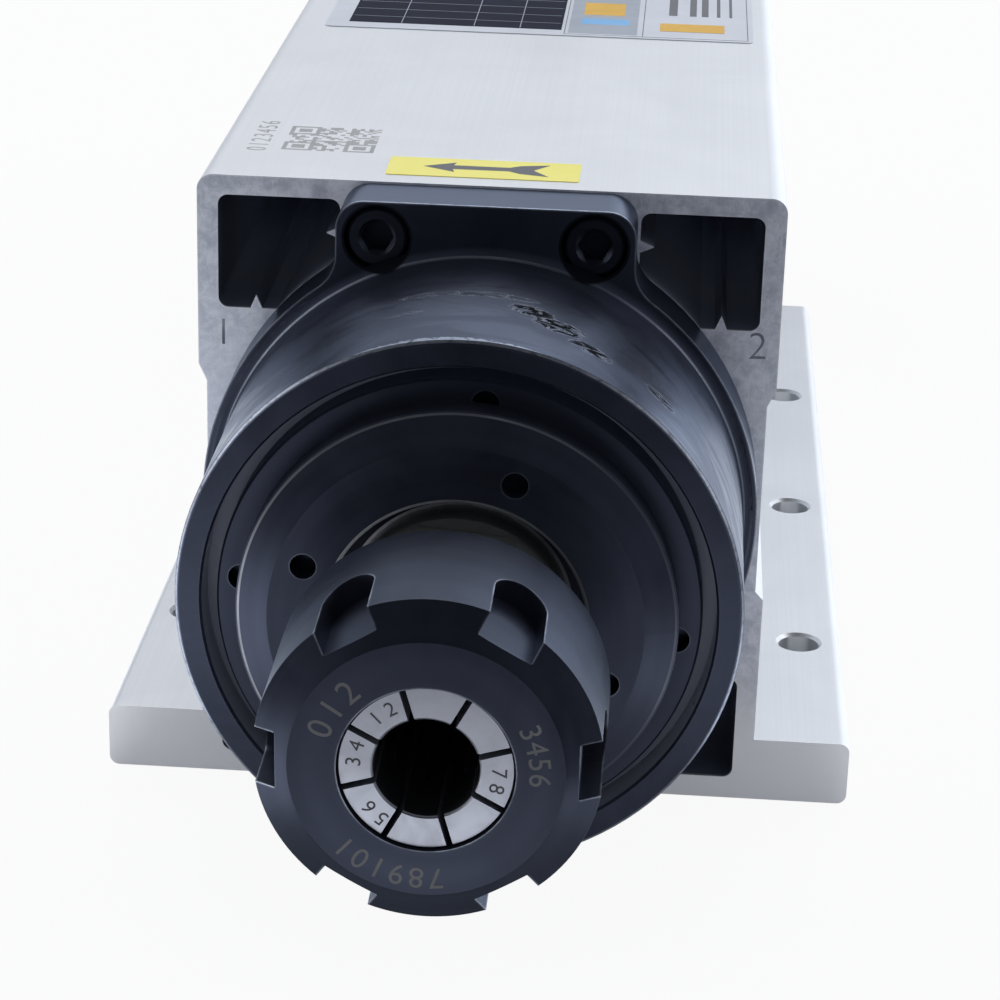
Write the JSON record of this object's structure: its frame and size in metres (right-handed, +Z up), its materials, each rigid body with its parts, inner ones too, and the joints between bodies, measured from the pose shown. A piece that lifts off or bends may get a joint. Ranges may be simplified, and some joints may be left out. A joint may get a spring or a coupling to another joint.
{
  "type": "motor spindle",
  "caption": "Square air-cooled motor spindle on a flanged base, with a round black nose, a slotted collet nut and a rear fan cowl.",
  "frame": {"origin": "the middle of the base's underside, which is the mounting face; the base plane is Z = 0", "axes": "+Z up, +Y along the spindle axis from the nose to the fan, +X to the right seen from the nose; the spindle axis lies at Z = 49 mm"},
  "size_m": [0.113, 0.3581, 0.112],
  "materials": {
    "body_extrusion": "satin clear-anodised extrusion, sawn and milled end faces",
    "front_housing": "black-oxide turned steel, semi-gloss, worn bright at the edges",
    "front_housing_screws": "black-oxide alloy steel",
    "bearing_gland": "black-oxide turned steel",
    "dust_cap": "black-oxide turned steel",
    "flinger_ring": "ground steel",
    "spindle_shaft": "ground and partly blackened steel",
    "collet": "hardened and ground spring steel",
    "collet_nut": "black-oxide steel, fine turned lines, bright at the edges",
    "front_bearing_outer_rings": "ground bearing steel",
    "front_bearing_inner_rings": "ground bearing steel",
    "front_bearing_cages": "cotton-reinforced phenolic",
    "front_bearing_balls": "polished bearing steel",
    "inner_bearing_spacer": "ground steel",
    "outer_bearing_spacer": "ground steel",
    "shaft_locknut": "blackened steel",
    "rotor_core": "stacked electrical steel",
    "rotor_cage": "die-cast aluminium",
    "stator_core": "stacked electrical steel",
    "stator_windings": "varnished copper wire",
    "rear_end_cover": "machined aluminium casting",
    "rear_cover_screws": "black-oxide alloy steel",
    "rear_bearing_outer_ring": "ground bearing steel",
    "rear_bearing_inner_ring": "ground bearing steel",
    "rear_bearing_cage": "pressed brass",
    "rear_bearing_balls": "polished bearing steel",
    "preload_spring": "spring steel",
    "bearing_circlip": "phosphated spring steel",
    "fan_impeller": "glass-filled black nylon",
    "fan_washer": "zinc-plated steel",
    "fan_screw": "zinc-plated steel",
    "fan_cowl": "black powder-coated aluminium",
    "cowl_screws": "black-oxide steel",
    "inlet_gasket": "black nitrile rubber",
    "inlet_shell": "bright nickel-plated zinc",
    "inlet_insert": "black moulded phenolic",
    "inlet_pins": "gold-coloured plated brass",
    "inlet_screws": "nickel-plated steel"
  },
  "bodies": {
    "housing": {"body_extrusion": "body_extrusion", "front_housing": "front_housing", "front_housing_screws": "front_housing_screws", "bearing_gland": "bearing_gland", "dust_cap": "dust_cap", "front_bearing_outer_rings": "front_bearing_outer_rings", "outer_bearing_spacer": "outer_bearing_spacer", "stator_core": "stator_core", "stator_windings": "stator_windings", "rear_end_cover": "rear_end_cover", "rear_cover_screws": "rear_cover_screws", "rear_bearing_outer_ring": "rear_bearing_outer_ring", "preload_spring": "preload_spring", "fan_cowl": "fan_cowl", "cowl_screws": "cowl_screws", "inlet_gasket": "inlet_gasket", "inlet_shell": "inlet_shell", "inlet_insert": "inlet_insert", "inlet_pins": "inlet_pins", "inlet_screws": "inlet_screws"},
    "shaft": {"spindle_shaft": "spindle_shaft", "flinger_ring": "flinger_ring", "front_bearing_inner_rings": "front_bearing_inner_rings", "inner_bearing_spacer": "inner_bearing_spacer", "shaft_locknut": "shaft_locknut", "rotor_core": "rotor_core", "rotor_cage": "rotor_cage", "rear_bearing_inner_ring": "rear_bearing_inner_ring", "bearing_circlip": "bearing_circlip", "fan_impeller": "fan_impeller", "fan_washer": "fan_washer", "fan_screw": "fan_screw"},
    "front_cages": {"front_bearing_cages": "front_bearing_cages", "front_bearing_balls": "front_bearing_balls"},
    "rear_cage": {"rear_bearing_cage": "rear_bearing_cage", "rear_bearing_balls": "rear_bearing_balls"},
    "collet": {"collet": "collet"},
    "nut": {"collet_nut": "collet_nut"}
  },
  "joints": [
    {"name": "spindle_spin", "type": "hinge", "parent": "housing", "child": "shaft", "pos_m": [0, 0, 0.049], "axis": [0, 1, 0], "continuous": true},
    {"name": "front_cage_spin", "type": "hinge", "parent": "housing", "child": "front_cages", "pos_m": [0, 0, 0.049], "axis": [0, 1, 0], "continuous": true},
    {"name": "rear_cage_spin", "type": "hinge", "parent": "housing", "child": "rear_cage", "pos_m": [0, 0, 0.049], "axis": [0, 1, 0], "continuous": true},
    {"name": "collet_draw", "type": "slide", "parent": "shaft", "child": "collet", "axis": [0, -1, 0], "range_m": [0, 0.01201]},
    {"name": "nut_turn", "type": "hinge", "parent": "collet", "child": "nut", "pos_m": [0, 0, 0.049], "axis": [0, -1, 0], "range_deg": [0, 2880]}
  ],
  "couplings": [
    {"joint": "front_cage_spin", "follows": "spindle_spin", "ratio": 0.4118},
    {"joint": "rear_cage_spin", "follows": "spindle_spin", "ratio": 0.3976},
    {"joint": "collet_draw", "follows": "nut_turn", "m_per_rad": 0.00023873}
  ]
}
